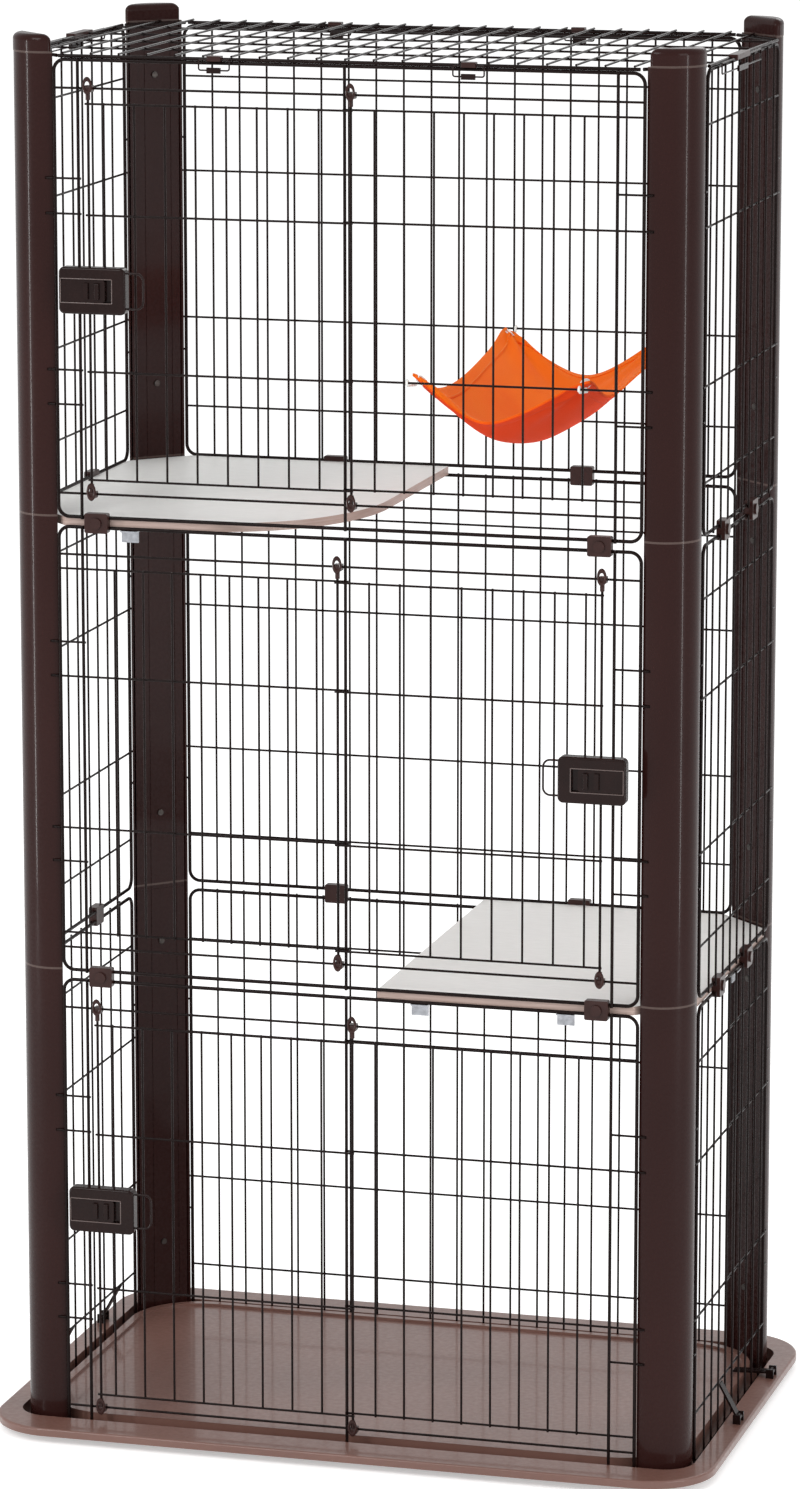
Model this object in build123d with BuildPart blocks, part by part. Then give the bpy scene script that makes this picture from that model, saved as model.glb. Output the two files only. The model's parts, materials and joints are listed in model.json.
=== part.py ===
"""Three-tier wire cat cage: base tray, corner posts, wire panels, sliding doors, shelves and hammock.

Millimetres, +Z up, origin at the bottom centre of the tray, front towards -Y.
"""
from build123d import *
from math import asin, atan2, cos, degrees, radians, sin, sqrt
import os

os.makedirs("parts", exist_ok=True)

# Overall layout
wire_half_width = 372.5
wire_half_depth = 201.5
corner_span = 62.5
panel_height = 567.0
first_panel_height = 592.0
tier_gap = 13.0
frame_wire = 4.5
bar_wire = 4.0
rail_wire = 3.0
grid_wire = 2.8
weld_gap = 0.05
running_gap = 0.3
corner_radius = 14.0

# Tray
rim_side = 28.0
rim_front = 52.0
tray_corner = 85.0
rim_top = 20.0
rim_thickness = 10.0
tray_floor = 2.5
channel_outside = 9.0
channel_inside = 9.0
channel_corner = 40.0
platform_corner = 95.0
platform_top = 24.0
platform_lip = 10.0
platform_recess = 3.5
tray_wall = 3.0

# Corner posts
post_radius = 43.4
post_angle = 70.0
post_wall = 2.6
post_plate = 3.0
plate_half = 35.6
cap_height = 22.0
cap_round = 8.0
post_head = 8.0
screw_head = 8.0

# Grid rows, as shares of a panel's height measured down from its top wire
row_rail_top = 0.061
row_top = 0.093
row_third = 0.334
row_two_thirds = 0.676
row_bottom = 0.914
row_rail_bottom = 0.948
row_side_top = 0.115
row_side_bottom = 0.885
row_peg_upper = 0.257
row_peg_lower = 0.752
peg_length = 9.0

# Grid pitches
front_last_gap = 41.3
front_verticals = 8
opening_bar_inset = 32.0
door_lead_inset = 14.5
door_trail_x = 9.0
door_verticals = 8
door_first = 40.5
door_last = 20.1
door_stop = 8.0
door_edge_wire = 3.4
guide_width = 9.0
sleeve_length = 9.5
side_columns = 9
back_columns = 19
roof_pitch = 36.0
roof_long_wires = 4

# Latch on each door
latch_length = 86.0
latch_height = 58.0
latch_depth = 16.0
latch_overhang = 35.0
latch_share = 0.496
slider_height = 28.0
slider_length = 56.0
slider_margin = 4.0
slider_depth = 5.0
slider_travel = 8.0
bail_reach = 20.0
bail_height = 44.0
bail_wire = 2.6

# Shelves, hammock and small hardware
shelf_thickness = 11.0
shelf_gap = 0.5
shelf_seat = 1.0
upper_shelf_end = -12.0
shelf_curve_x = 178.0
shelf_curve_y = 230.0
lower_shelf_start = 38.0
clip_width = 30.0
clip_height = 25.0
clip_depth = 11.0
hammock_wall = 74.5
hammock_half_x = 112.0
hammock_reach = 38.0
hammock_cloth = 2.4
hammock_end_sag = 34.0
hammock_hang = 4.0
hook_wire = 3.2
hook_inset = 4.0
arm_width = 15.0
arm_thickness = 2.5
arm_pin = 4.0
arm_eye = 8.0
arm_hinge_out = 26.0
arm_front_y = -60.0
arm_rear_y = 141.0
lug_size = 10.0
lug_wall = 3.0
hinge_lift = 7.0
roof_bail_drop = 13.0
roof_bail_half = 19.5
side_bail_half = 111.0
roof_block_half = 9.0
side_block_half = 36.0
roof_block_top = 4.5
roof_pin = 2.0
bracket_width = 22.0
bracket_plate = 1.6
bracket_leg = 15.0
bracket_screw = 10.0

# Derived places
opening_bar_x = wire_half_width - opening_bar_inset
front_pitch = (opening_bar_x - front_last_gap) / front_verticals
door_lead_x = opening_bar_x - door_lead_inset
door_pitch = (door_lead_x + door_trail_x - door_first - door_last) / (door_verticals - 1)
door_travel = door_lead_x - door_stop
side_x = wire_half_width + corner_span
front_y = wire_half_depth + corner_span
frame_r = frame_wire / 2
bar_r = bar_wire / 2
grid_r = grid_wire / 2
rail_r = rail_wire / 2
first_bottom = tray_floor + frame_r + 0.2
first_top = first_bottom + first_panel_height
tier_bottoms = [first_bottom, first_top + tier_gap, first_top + 2 * tier_gap + panel_height]
tier_heights = [first_panel_height, panel_height, panel_height]
roof_z = tier_bottoms[2] + panel_height + frame_wire + weld_gap
seam = tier_gap / 2
post_joints = [tray_floor + 0.2, tier_bottoms[1] - seam, tier_bottoms[2] - seam,
               tier_bottoms[2] + panel_height + post_head]
bar_y = frame_r + bar_r + weld_gap
row_y = bar_y - bar_r - weld_gap - grid_r
rail_y = bar_y - bar_r - weld_gap - rail_r
vertical_y = row_y + grid_wire + weld_gap
door_y = bar_y + bar_r + running_gap + door_edge_wire / 2
door_row_y = door_y + door_edge_wire / 2 + grid_r + weld_gap


def save(shape, name):
    """Labels one node and writes its file."""
    shape.label = name
    export_step(shape, f"parts/{name}.step")


def row(height, share):
    """The height above a panel's bottom wire of a row at a share down from the top."""
    return height * (1 - share)


def wires(points, radius, length, direction, mode=Mode.ADD):
    """Straight wires or bores of one radius and length whose middles are at the points."""
    turn = {"x": (0, 90, 0), "y": (90, 0, 0), "z": (0, 0, 0)}[direction]
    with Locations(*[Location(p, turn) for p in points]):
        Cylinder(radius, length, mode=mode)


def span(lo, hi, y, z, radius):
    """A wire along X from lo to hi."""
    wires([((lo + hi) / 2, y, z)], radius, hi - lo, "x")


def frame_wires(half, height):
    """The border of a panel: four straight wires and four bent corners."""
    inner = corner_radius + weld_gap
    wires([(0, 0, 0), (0, 0, height)], frame_r, 2 * (half - inner), "x")
    wires([(-half, 0, height / 2), (half, 0, height / 2)], frame_r, height - 2 * inner, "z")
    for sx in (-1, 1):
        for top in (0, 1):
            centre = (sx * (half - corner_radius), 0, height - corner_radius if top else corner_radius)
            start = {(1, 1): 0, (-1, 1): 90, (-1, 0): 180, (1, 0): 270}[(sx, top)]
            plane = Plane(origin=centre, x_dir=(1, 0, 0), z_dir=(0, -1, 0))
            with BuildLine(plane) as bend:
                CenterArc((0, 0), corner_radius, start, 90)
            with BuildSketch(Plane(origin=bend.line @ 0, z_dir=bend.line % 0)) as profile:
                Circle(frame_r)
            sweep(sections=profile.sketch, path=bend.line)


def make_front_panel(height):
    """A front panel with its door opening on the left and a fixed grid on the right."""
    inside = wire_half_width - frame_r - weld_gap
    with BuildPart() as panel:
        frame_wires(wire_half_width, height)
        wires([(x, -bar_y, height / 2) for x in (-opening_bar_x, 0, opening_bar_x)],
              bar_r, height + frame_wire, "z")
        wires([(0, -rail_y, row(height, s)) for s in (row_rail_top, row_rail_bottom)],
              rail_r, 2 * inside, "x")
        lo, hi = row(height, row_bottom), row(height, row_top)
        columns = [front_pitch * (k + 1) for k in range(front_verticals)]
        wires([(x, -vertical_y, (lo + hi) / 2) for x in columns], grid_r, hi - lo + 2 * grid_r, "z")
        for share in (row_top, row_third, row_two_thirds, row_bottom):
            span(-bar_r - 1, inside, -row_y, row(height, share), grid_r)
        outer = wire_half_width + frame_r + weld_gap
        for share in (row_third, row_two_thirds, row_peg_upper, row_peg_lower):
            z = row(height, share)
            span(-inside, -opening_bar_x + bar_r, -row_y, z, grid_r)
            if share in (row_peg_upper, row_peg_lower):
                span(opening_bar_x - bar_r, inside, -row_y, z, grid_r)
            span(-outer - peg_length, -outer, -row_y, z, grid_r)
            span(outer, outer + peg_length, -row_y, z, grid_r)
    return panel.part


def make_plain_panel(half, height, uprights):
    """A back or side panel: an even grid with pegs at both ends."""
    inside = half - frame_r - weld_gap
    outer = half + frame_r + weld_gap
    pitch = 2 * half / (uprights + 1)
    with BuildPart() as panel:
        frame_wires(half, height)
        columns = [-half + pitch * (k + 1) for k in range(uprights)]
        reach = frame_r + grid_r + weld_gap
        wires([(x, -reach, height / 2) for x in columns], grid_r, height + frame_wire, "z")
        y = reach - grid_wire - weld_gap
        for share in (row_side_top, row_third, row_two_thirds, row_side_bottom):
            span(-inside, inside, -y, row(height, share), grid_r)
        for share in (row_third, row_two_thirds, row_peg_upper, row_peg_lower):
            span(-outer - peg_length, -outer, -y, row(height, share), grid_r)
            span(outer, outer + peg_length, -y, row(height, share), grid_r)
    return panel.part


def make_door(height):
    """A sliding door that closes towards -X, in the frame of its front panel."""
    lo, hi = row(height, row_bottom), row(height, row_top)
    foot = row(height, row_rail_bottom) + rail_r + 4.0
    head = row(height, row_rail_top) - rail_r - 4.0
    middle = (foot + head) / 2
    first = door_trail_x - door_first
    with BuildPart() as door:
        wires([(-door_lead_x, -door_y, middle), (door_trail_x, -door_y, middle)],
              door_edge_wire / 2, head - foot, "z")
        columns = [first - door_pitch * k for k in range(door_verticals)]
        column_y = door_row_y - grid_wire - weld_gap
        wires([(x, -column_y, (lo + hi) / 2) for x in columns], grid_r, hi - lo + 2 * grid_r, "z")
        for share in (row_top, row_third, row_two_thirds, row_bottom):
            span(-door_lead_x - 3, door_trail_x + 3, -door_row_y, row(height, share), grid_r)
    return door.part


def make_guides(height):
    """Four plastic guides that hold the door's edge wires on the two rails."""
    back = rail_y - rail_r - 2.2
    front = door_y + door_edge_wire / 2 + 1.2
    with BuildPart() as guides:
        for share, side in ((row_rail_top, -1), (row_rail_bottom, 1)):
            z = row(height, share)
            for x in (-door_lead_x, door_trail_x):
                with BuildPart(mode=Mode.PRIVATE) as guide:
                    with Locations((x, -(back + front) / 2, z)):
                        Box(guide_width, front - back, 8.0)
                    fillet(guide.edges().filter_by(Axis.X), 2.2)
                    with Locations(Location((x, -rail_y, z), (0, 90, 0))):
                        Cylinder(rail_r + 0.5, guide_width + 2, mode=Mode.SUBTRACT)
                    with Locations((x, -door_y, z + side * (4 + sleeve_length / 2))):
                        Cylinder(door_edge_wire / 2 + 1.2, sleeve_length)
                        Cylinder(door_edge_wire / 2 + weld_gap, sleeve_length, mode=Mode.SUBTRACT)
                add(guide.part)
    return guides.part


def latch_origin(height):
    """The middle of the back face of a latch case."""
    x = -door_lead_x - latch_overhang + latch_length / 2
    return (x, -(door_y + door_edge_wire / 2 + weld_gap), row(height, latch_share))


def make_latch_case(height):
    """The plastic case on the door's leading edge, its slider's recess and its wire finger bail."""
    x, y, z = latch_origin(height)
    with BuildPart() as case:
        with Locations((x, y - latch_depth / 2, z)):
            Box(latch_length, latch_depth, latch_height)
        fillet(case.edges().filter_by(Axis.Y), 7.0)
        fillet(case.faces().sort_by(Axis.Y)[0].edges(), 3.0)
        recess = slider_length + slider_travel + 2 * running_gap
        recess_x = x - latch_length / 2 + slider_margin - running_gap + recess / 2
        with Locations((recess_x, y - latch_depth + slider_depth / 2, z)):
            Box(recess, slider_depth, slider_height, mode=Mode.SUBTRACT)
        end_x = x + latch_length / 2 + running_gap
        bail_y = door_row_y + grid_r + bail_wire
        with BuildLine(Plane(origin=(end_x, -bail_y, z), x_dir=(1, 0, 0), z_dir=(0, -1, 0))) as loop:
            FilletPolyline((0, -bail_height / 2), (bail_reach, -bail_height / 2),
                           (bail_reach, bail_height / 2), (0, bail_height / 2), radius=9)
        with BuildSketch(Plane(origin=loop.line @ 0, z_dir=loop.line % 0)):
            Circle(bail_wire / 2)
        sweep(path=loop.line)
    return case.part


def make_slider(height):
    """The latch slider with two finger ribs, shut at the left end of its recess."""
    x, y, z = latch_origin(height)
    left = x - latch_length / 2 + slider_margin
    front = y - latch_depth
    with BuildPart() as slider:
        with Locations((left + slider_length / 2, front + slider_depth / 2 - running_gap / 2, z)):
            Box(slider_length, slider_depth - running_gap, slider_height - 2 * running_gap)
        fillet(slider.edges().filter_by(Axis.Y), 3.0)
        with Locations((left + slider_length - 24, front - 1.4, z), (left + slider_length - 10, front - 1.8, z)):
            Box(6.0, 3.4, slider_height - 8)
        fillet(slider.faces().sort_by(Axis.Y)[0].edges(), 1.2)
    return slider.part


def place(shape, z, mirrored=False):
    """Stands a front piece at its tier, with the opening on the other side where mirrored."""
    if mirrored:
        shape = shape.mirror(Plane.YZ)
    return shape.moved(Location((0, -front_y, z)))


# Base tray
with BuildPart() as base_tray:
    with BuildSketch(Plane.XY.offset(rim_top - rim_thickness)):
        RectangleRounded(2 * (side_x + channel_outside + rim_side),
                         2 * (front_y + channel_outside + rim_front), tray_corner)
    extrude(amount=rim_thickness)
    fillet(base_tray.faces().sort_by(Axis.Z)[-1].edges(), 3.0)
    body_x = side_x + channel_outside + tray_wall
    body_y = front_y + channel_outside + tray_wall
    with BuildSketch():
        RectangleRounded(2 * body_x, 2 * body_y, channel_corner + tray_wall)
    extrude(amount=rim_top - rim_thickness)
    with BuildSketch(Plane.XY.offset(tray_floor)):
        RectangleRounded(2 * (side_x + channel_outside), 2 * (front_y + channel_outside), channel_corner)
    extrude(amount=rim_top, mode=Mode.SUBTRACT)
    platform_x = side_x - channel_inside
    platform_y = front_y - channel_inside
    with BuildSketch(Plane.XY.offset(tray_floor)):
        RectangleRounded(2 * platform_x, 2 * platform_y, platform_corner)
    extrude(amount=platform_top - tray_floor)
    with BuildSketch(Plane.XY.offset(platform_top - platform_recess)):
        RectangleRounded(2 * (platform_x - platform_lip), 2 * (platform_y - platform_lip),
                         platform_corner - platform_lip)
    extrude(amount=platform_recess, mode=Mode.SUBTRACT)
    with BuildSketch():
        RectangleRounded(2 * (platform_x - tray_wall), 2 * (platform_y - tray_wall),
                         platform_corner - tray_wall)
    extrude(amount=platform_top - platform_recess - tray_wall, mode=Mode.SUBTRACT)
save(base_tray.part, "base_tray")

# Corner post section, drawn at the front right corner
chord_mid = Vector((wire_half_width + side_x) / 2, -(wire_half_depth + front_y) / 2)
chord_dir = Vector(1, 1) / sqrt(2)
out_dir = Vector(1, -1) / sqrt(2)
arc_centre = chord_mid - out_dir * (post_radius * cos(radians(post_angle)))
half_chord = post_radius * sin(radians(post_angle))
inner_radius = post_radius - post_wall
half_inner = sqrt(inner_radius**2 - (post_radius * cos(radians(post_angle)))**2)
cap_z = post_joints[3]


def post_slots(lo, hi):
    """The middles of the peg slots between two heights: front pegs first, then side pegs."""
    places = []
    for bottom, height in zip(tier_bottoms, tier_heights):
        for share in (row_third, row_two_thirds, row_peg_upper, row_peg_lower):
            z = bottom + row(height, share)
            if lo < z < hi:
                peg = frame_r + peg_length / 2
                places.append((wire_half_width + peg, -front_y - row_y, z))
                places.append((side_x + row_y, -wire_half_depth - peg, z))
    return places


def mirrored_to(shape, corner):
    """Moves a front right piece to the named corner."""
    if "l" in corner:
        shape = shape.mirror(Plane.YZ)
    if "b" in corner:
        shape = shape.mirror(Plane.XZ)
    return shape


with BuildPart() as plates:
    for tier in range(3):
        lo = post_joints[tier] + 2 * weld_gap
        hi = post_joints[tier + 1] - 2 * weld_gap
        with BuildSketch(Plane.XY.offset(lo)):
            with BuildLine():
                Polyline(*[chord_mid + chord_dir * a + out_dir * b for a, b in (
                    (-plate_half, post_plate), (-plate_half, 0.4), (-24, 0.4), (-24, 1.2), (-14, 1.2),
                    (-14, 0.4), (14, 0.4), (14, 1.2), (24, 1.2), (24, 0.4), (plate_half, 0.4),
                    (plate_half, post_plate))], close=True)
            make_face()
        extrude(amount=hi - lo)
save(Compound(label="post_inner_plates", children=[
    mirrored_to(plates.part, corner) for corner in ("fl", "fr", "bl", "br")]), "post_inner_plates")

for tier in range(3):
    lo, hi = post_joints[tier], post_joints[tier + 1] - weld_gap
    with BuildPart() as shell:
        with BuildSketch(Plane.XY.offset(lo)):
            with BuildLine():
                start = chord_mid - chord_dir * half_chord
                end = chord_mid + chord_dir * half_chord
                inner_start = chord_mid - chord_dir * half_inner
                inner_end = chord_mid + chord_dir * half_inner
                ThreePointArc(start, arc_centre + out_dir * post_radius, end)
                Line(end, inner_end)
                ThreePointArc(inner_end, arc_centre + out_dir * inner_radius, inner_start)
                Line(inner_start, start)
            make_face()
        extrude(amount=hi - lo)
        with Locations(*[p for i, p in enumerate(post_slots(lo, hi)) if i % 2 == 0]):
            Box(peg_length + 3, grid_wire + 2 * running_gap, grid_wire + 2 * running_gap, mode=Mode.SUBTRACT)
        with Locations(*[p for i, p in enumerate(post_slots(lo, hi)) if i % 2 == 1]):
            Box(grid_wire + 2 * running_gap, peg_length + 3, grid_wire + 2 * running_gap, mode=Mode.SUBTRACT)
    for corner in ("fl", "fr", "bl", "br"):
        save(mirrored_to(shell.part, corner), f"post_{corner}_{tier + 1}")

with BuildPart() as cap:
    with BuildSketch(Plane.XY.offset(cap_z)):
        with BuildLine():
            ThreePointArc(start, arc_centre + out_dir * post_radius, end)
            Line(end, start)
        make_face()
        offset(amount=0.6, kind=Kind.INTERSECTION)
    extrude(amount=cap_height)
    fillet(cap.edges().filter_by(Axis.Z), 5.0)
    fillet(cap.faces().sort_by(Axis.Z)[-1].edges(), cap_round)
save(Compound(label="post_caps", children=[
    mirrored_to(cap.part, corner) for corner in ("fl", "fr", "bl", "br")]), "post_caps")

with BuildPart() as screws:
    for tier in range(3):
        lo, hi = post_joints[tier], post_joints[tier + 1]
        for share in (0.18, 0.88):
            face = chord_mid + out_dir * (0.4 - weld_gap)
            plane = Plane(origin=(face.X, face.Y, lo + share * (hi - lo)), z_dir=-out_dir)
            with BuildSketch(plane):
                Circle(screw_head / 2)
            extrude(amount=2.2)
save(Compound(label="post_screws", children=[
    mirrored_to(screws.part, corner) for corner in ("fl", "fr", "bl", "br")]), "post_screws")

# Wire panels, doors and latches
for tier, (bottom, height) in enumerate(zip(tier_bottoms, tier_heights)):
    name = tier + 1
    flip = tier == 1
    save(place(make_front_panel(height), bottom, flip), f"front_panel_{name}")
    back = make_plain_panel(wire_half_width, height, back_columns)
    save(back.rotate(Axis.Z, 180).moved(Location((0, front_y, bottom))), f"back_panel_{name}")
    side = make_plain_panel(wire_half_depth, height, side_columns)
    save(side.rotate(Axis.Z, 90).moved(Location((side_x, 0, bottom))), f"right_panel_{name}")
    save(side.rotate(Axis.Z, -90).moved(Location((-side_x, 0, bottom))), f"left_panel_{name}")
    save(place(make_door(height), bottom, flip), f"door_{name}")
    save(place(make_guides(height), bottom, flip), f"door_guides_{name}")
    save(place(make_latch_case(height), bottom, flip), f"latch_case_{name}")
    save(place(make_slider(height), bottom, flip), f"latch_slider_{name}")

# Roof grid
corner_cut = corner_span + 6.0
with BuildPart() as roof:
    long_x = wire_half_width - 6.0
    long_y = wire_half_depth - 6.0
    wires([(0, -front_y, roof_z), (0, front_y, roof_z)], frame_r, 2 * long_x, "x")
    wires([(-side_x, 0, roof_z), (side_x, 0, roof_z)], frame_r, 2 * long_y, "y")
    for sx in (-1, 1):
        for sy in (-1, 1):
            middle = (sx * (long_x + side_x) / 2, sy * (long_y + front_y) / 2, roof_z)
            reach = corner_cut * sqrt(2) - 2 * frame_wire
            with Locations(Location(middle, (90 * sx * sy, 45, 0))):
                Cylinder(frame_r, reach)
    cross_z = roof_z + frame_r + grid_r + weld_gap
    half_count = int((side_x - frame_wire) // roof_pitch)
    for k in range(-half_count, half_count + 1):
        x = k * roof_pitch
        half = front_y + frame_r - max(0.0, abs(x) - long_x)
        wires([(x, 0, cross_z)], grid_r, 2 * half, "y")
    long_z = cross_z - grid_wire - weld_gap
    gap = 2 * front_y / (roof_long_wires + 1)
    for k in range(roof_long_wires):
        y = -front_y + gap * (k + 1)
        half = side_x - frame_r - weld_gap - max(0.0, abs(y) - long_y)
        wires([(0, y, long_z)], grid_r, 2 * half, "x")
save(roof.part, "roof_panel")

# Shelves
shelf_x = side_x - frame_r - shelf_gap
shelf_y = front_y - frame_r - shelf_gap
cut = corner_span + 4.0
upper_top = tier_bottoms[2] - shelf_seat
lower_top = tier_bottoms[1] - shelf_seat
with BuildPart() as shelf_upper:
    with BuildSketch(Plane.XY.offset(upper_top - shelf_thickness)):
        with BuildLine():
            Polyline((upper_shelf_end, -shelf_y + shelf_curve_y), (upper_shelf_end, shelf_y),
                     (-shelf_x + cut, shelf_y), (-shelf_x, shelf_y - cut), (-shelf_x, -shelf_y + cut),
                     (-shelf_x + cut, -shelf_y), (upper_shelf_end - shelf_curve_x, -shelf_y))
            EllipticalCenterArc((upper_shelf_end - shelf_curve_x, -shelf_y + shelf_curve_y),
                                shelf_curve_x, shelf_curve_y, start_angle=270, arc_size=90)
        make_face()
    extrude(amount=shelf_thickness)
save(shelf_upper.part, "shelf_upper")

with BuildPart() as shelf_lower:
    with BuildSketch(Plane.XY.offset(lower_top - shelf_thickness)):
        with BuildLine():
            Polyline((lower_shelf_start, -shelf_y), (shelf_x - cut, -shelf_y), (shelf_x, -shelf_y + cut),
                     (shelf_x, shelf_y - cut), (shelf_x - cut, shelf_y), (lower_shelf_start, shelf_y),
                     close=True)
        make_face()
    extrude(amount=shelf_thickness)
save(shelf_lower.part, "shelf_lower")

# Shelf brackets: a plate under the wire, a block under the shelf and a screw head
front_bracket = 2.5 * front_pitch
back_gap = 2 * wire_half_width / (back_columns + 1)
side_gap = 2 * wire_half_depth / (side_columns + 1)
bracket_places = [((front_bracket, -front_y), 0, lower_top), ((3 * front_bracket, -front_y), 0, lower_top),
                  ((2.5 * back_gap, front_y), 180, lower_top), ((7.5 * back_gap, front_y), 180, lower_top),
                  ((side_x, 0.5 * side_gap), 90, lower_top), ((-3 * front_bracket, -front_y), 0, upper_top),
                  ((-7.5 * back_gap, front_y), 180, upper_top), ((-3.5 * back_gap, front_y), 180, upper_top),
                  ((-side_x, -0.5 * side_gap), -90, upper_top)]
under = -shelf_thickness - weld_gap
wire_low = shelf_seat - tier_gap - frame_r - weld_gap
with BuildPart() as bracket:
    with Locations((0, 12, wire_low - bracket_plate / 2)):
        Box(bracket_width, 30, bracket_plate)
    with Locations((0, 17, (under + wire_low) / 2)):
        Box(bracket_width, 20, under - wire_low)
    with Locations((0, frame_r + 1 + bracket_plate / 2, wire_low - bracket_leg / 2)):
        Box(bracket_width, bracket_plate, bracket_leg)
with BuildPart() as bracket_screw_head:
    with Locations((0, 17, wire_low - bracket_plate - weld_gap - 1.25)):
        Cylinder(bracket_screw / 2, 2.5)
    fillet(bracket_screw_head.faces().sort_by(Axis.Z)[0].edges(), 1.0)
spots = [Location((x, y, top), (0, 0, turn)) for (x, y), turn, top in bracket_places]
save(Compound(label="shelf_brackets", children=[bracket.part.moved(spot) for spot in spots]), "shelf_brackets")
save(Compound(label="bracket_screws", children=[
    bracket_screw_head.part.moved(spot) for spot in spots]), "bracket_screws")

# Clips that join the panels of neighbouring tiers
door_clip_x = opening_bar_x - bar_r - 2.0 - clip_width / 2
back_clip_x = 4.5 * back_gap
clip_places = [((-door_clip_x, -front_y), 0), ((door_clip_x, -front_y), 0),
               ((-back_clip_x, front_y), 180), ((back_clip_x, front_y), 180)]
for y in (-2.5 * side_gap, 1.5 * side_gap):
    clip_places += [((side_x, y), 90), ((-side_x, y), -90)]
with BuildPart() as clip:
    with Locations((0, 0.5 - clip_depth / 2 + frame_r, 0)):
        Box(clip_width, clip_depth, clip_height)
    fillet(clip.edges().filter_by(Axis.Y), 2.5)
    with Locations(Location((0, 0, seam), (0, 90, 0)), Location((0, 0, -seam), (0, 90, 0))):
        Cylinder(frame_r + weld_gap, clip_width, mode=Mode.SUBTRACT)
    with BuildSketch(Plane.XZ.offset(clip_depth - frame_r - 0.5)):
        Circle(7.0)
    extrude(amount=2.5)
tier_clips = []
for bottom in tier_bottoms[1:]:
    for (x, y), turn in clip_places:
        tier_clips.append(clip.part.moved(Location((x, y, bottom - seam), (0, 0, turn))))
save(Compound(label="tier_clips", children=tier_clips), "tier_clips")

# Hammock: a hanging cloth whose four corners are held and whose edges and middle sag
hook_z = tier_bottoms[2] + row(panel_height, row_two_thirds)
hammock_centre = wire_half_width - hammock_wall - hammock_half_x
hammock_half_y = front_y - hammock_reach
with BuildPart() as hammock:
    stations = ((-1.0, 1.0, 0, 0), (-0.5, 0.88, 26, 28), (0.0, 0.84, 38, 38), (0.5, 0.88, 26, 28), (1.0, 1.0, 0, 0))
    for along, width, drop, extra_sag in stations:
        half = hammock_half_x * width
        sag = hammock_end_sag + extra_sag
        top = hook_z - hammock_hang - drop
        with BuildSketch(Plane(origin=(hammock_centre, along * hammock_half_y, top), x_dir=(1, 0, 0),
                               z_dir=(0, -1, 0))):
            with BuildLine():
                ThreePointArc((-half, 0), (0, -sag), (half, 0))
                Line((half, 0), (half, -hammock_cloth))
                ThreePointArc((half, -hammock_cloth), (0, -sag - hammock_cloth), (-half, -hammock_cloth))
                Line((-half, -hammock_cloth), (-half, 0))
            make_face()
    loft()
save(hammock.part, "hammock")

# Hooks that carry the hammock's corners on the front and back grids
hook_r = hook_wire / 2
end_radius = (hammock_half_x**2 + hammock_end_sag**2) / (2 * hammock_end_sag)
corner_rise = sqrt(end_radius**2 - hammock_half_x**2)
corner_drop = sqrt(end_radius**2 - (hammock_half_x - hook_inset)**2) - corner_rise
hook_ring = grid_r + weld_gap + hook_r
hook_reach = front_y + row_y - hammock_half_y - running_gap
with BuildPart() as hooks:
    for sy in (-1, 1):
        for sx in (-1, 1):
            origin = (hammock_centre + sx * (hammock_half_x - hook_inset), sy * (front_y + row_y), hook_z)
            with BuildLine(Plane(origin=origin, x_dir=(0, -sy, 0), z_dir=(-sy, 0, 0))) as bend:
                ring_arc = CenterArc((0, 0), hook_ring, 0, 215)
                Line(ring_arc @ 0, (hook_ring, -hammock_hang))
                Line((hook_ring, -hammock_hang), (hook_reach, -hammock_hang - corner_drop - hammock_cloth / 2))
            with BuildSketch(Plane(origin=bend.line @ 0, z_dir=bend.line % 0)):
                Circle(hook_r)
            sweep(path=bend.line, transition=Transition.ROUND)
save(hooks.part, "hammock_hooks")

# Tray locking arms: flat bars hinged on the rim, struts under the side panels' lowest row wire
hinge_x = side_x + arm_hinge_out
hinge_z = rim_top + hinge_lift
strut_x = side_x + row_y
strut_z = tier_bottoms[0] + row(first_panel_height, row_side_bottom)
strut_length = sqrt((hinge_x - strut_x)**2 + (strut_z - hinge_z)**2)
strut_angle = degrees(atan2(strut_z - hinge_z, hinge_x - strut_x))
arm_length = strut_length - grid_r - 2 * running_gap
lip_reach = hinge_x - side_x + channel_inside + platform_lip
lip_angle = degrees(asin((platform_top + running_gap + arm_thickness / 2 - hinge_z) / lip_reach))
arm_rests = [("left", "front", strut_angle), ("right", "front", strut_angle),
             ("left", "rear", strut_angle), ("right", "rear", lip_angle)]
with BuildPart() as pivots:
    for side in (-1, 1):
        for y in (arm_front_y, arm_rear_y):
            lug_y = arm_width / 2 + running_gap + lug_wall / 2
            with Locations((side * hinge_x, y - lug_y, rim_top + lug_size / 2 + 1),
                           (side * hinge_x, y + lug_y, rim_top + lug_size / 2 + 1)):
                Box(lug_size, lug_wall, lug_size + 2)
            wires([(side * hinge_x, y, hinge_z)], arm_pin / 2, 2 * lug_y, "y")
save(pivots.part, "tray_arm_pivots")
for side_name, end_name, angle in arm_rests:
    y = arm_front_y if end_name == "front" else arm_rear_y
    plane = Plane(origin=(hinge_x, y + arm_width / 2, hinge_z), x_dir=(1, 0, 0), z_dir=(0, -1, 0))
    with BuildPart() as arm:
        with BuildSketch(plane):
            with Locations(Location((0, 0, 0), (0, 0, 180 - angle))):
                with Locations((arm_length / 2, 0)):
                    SlotOverall(arm_length, arm_thickness)
            Circle(arm_eye / 2)
            Circle(arm_pin / 2 + 0.1, mode=Mode.SUBTRACT)
        extrude(amount=arm_width)
    shape = arm.part.mirror(Plane.YZ) if side_name == "left" else arm.part
    save(shape, f"tray_arm_{side_name}_{end_name}")

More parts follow.
